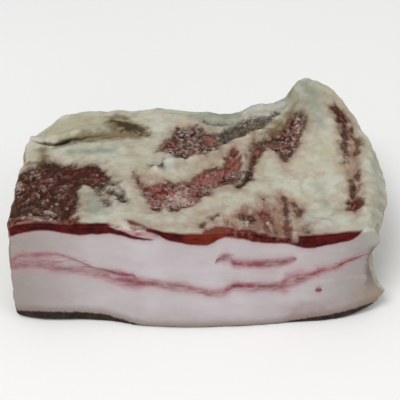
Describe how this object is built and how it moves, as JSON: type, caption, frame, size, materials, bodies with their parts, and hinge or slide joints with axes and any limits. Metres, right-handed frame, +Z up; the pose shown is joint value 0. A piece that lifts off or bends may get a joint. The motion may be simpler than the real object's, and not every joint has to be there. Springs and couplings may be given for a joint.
{
  "type": "cured pork belly slab",
  "caption": "Slab of cured pork belly lying on its rind: pale fat streaked with lean, cut clean along the front, rough and salted on top, with a lobe of fat at one rear corner.",
  "frame": {"origin": "on the table under the middle of the slab's box", "axes": "+X along the slab towards the end with the lobe, +Y from the cut face to the rear, +Z up from the rind to the salted side"},
  "size_m": [0.1962, 0.127, 0.08],
  "materials": {
    "cured_pork": "moist satin on the cut face, dry and salted elsewhere",
    "salt": "dull white crystals"
  },
  "bodies": {
    "root": {"pork_belly_slab": "cured_pork"}
  },
  "joints": []
}
